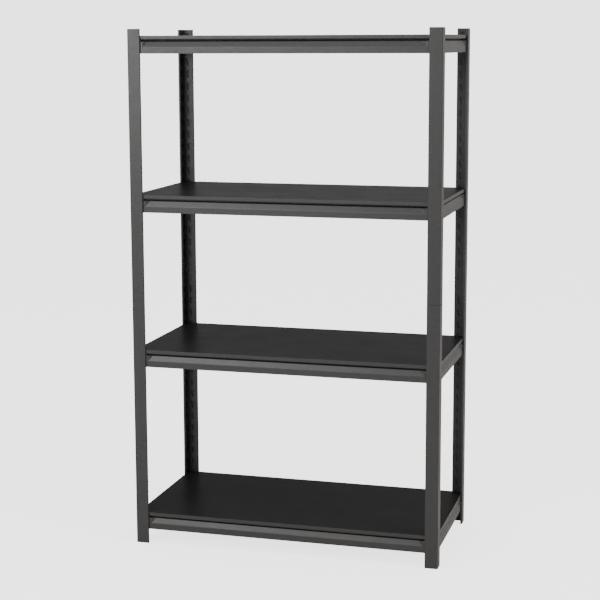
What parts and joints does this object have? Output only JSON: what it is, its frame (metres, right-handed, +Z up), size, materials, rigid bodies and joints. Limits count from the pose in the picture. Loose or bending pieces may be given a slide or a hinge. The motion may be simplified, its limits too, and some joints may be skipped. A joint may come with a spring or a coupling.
{
  "type": "boltless shelving unit",
  "caption": "Free-standing boltless steel shelving: hollow angle posts with keyholes on their inner walls, hook-in beams and lift-out boards.",
  "frame": {"origin": "on the floor, in the middle of the unit's footprint", "axes": "+Z up along the posts, +X to the right along the long beams, -Y towards the front"},
  "size_m": [0.9144, 0.4572, 1.524],
  "materials": {
    "frame_steel": "dark warm grey powder coat, semi-gloss",
    "coupler_plastic": "dark grey, satin",
    "board": "smooth charcoal laminate on particleboard"
  },
  "bodies": {
    "frame": {"post_front_left_lower": "frame_steel", "post_front_left_upper": "frame_steel", "post_front_right_lower": "frame_steel", "post_front_right_upper": "frame_steel", "post_back_right_lower": "frame_steel", "post_back_right_upper": "frame_steel", "post_back_left_lower": "frame_steel", "post_back_left_upper": "frame_steel", "coupler_front_left": "coupler_plastic", "coupler_front_right": "coupler_plastic", "coupler_back_right": "coupler_plastic", "coupler_back_left": "coupler_plastic", "beam_front_level_1": "frame_steel", "beam_back_level_1": "frame_steel", "beam_left_level_1": "frame_steel", "beam_right_level_1": "frame_steel", "beam_front_level_2": "frame_steel", "beam_back_level_2": "frame_steel", "beam_left_level_2": "frame_steel", "beam_right_level_2": "frame_steel", "beam_front_level_3": "frame_steel", "beam_back_level_3": "frame_steel", "beam_left_level_3": "frame_steel", "beam_right_level_3": "frame_steel", "beam_front_level_4": "frame_steel", "beam_back_level_4": "frame_steel", "beam_left_level_4": "frame_steel", "beam_right_level_4": "frame_steel"},
    "shelf_1": {"board_level_1": "board"},
    "shelf_2": {"board_level_2": "board"},
    "shelf_3": {"board_level_3": "board"},
    "shelf_4": {"board_level_4": "board"}
  },
  "joints": [
    {"name": "shelf_1_lift", "type": "slide", "parent": "frame", "child": "shelf_1", "axis": [0, 0, 1], "range_m": [0, 0.4]},
    {"name": "shelf_2_lift", "type": "slide", "parent": "frame", "child": "shelf_2", "axis": [0, 0, 1], "range_m": [0, 0.4]},
    {"name": "shelf_3_lift", "type": "slide", "parent": "frame", "child": "shelf_3", "axis": [0, 0, 1], "range_m": [0, 0.4]},
    {"name": "shelf_4_lift", "type": "slide", "parent": "frame", "child": "shelf_4", "axis": [0, 0, 1], "range_m": [0, 0.4]}
  ]
}
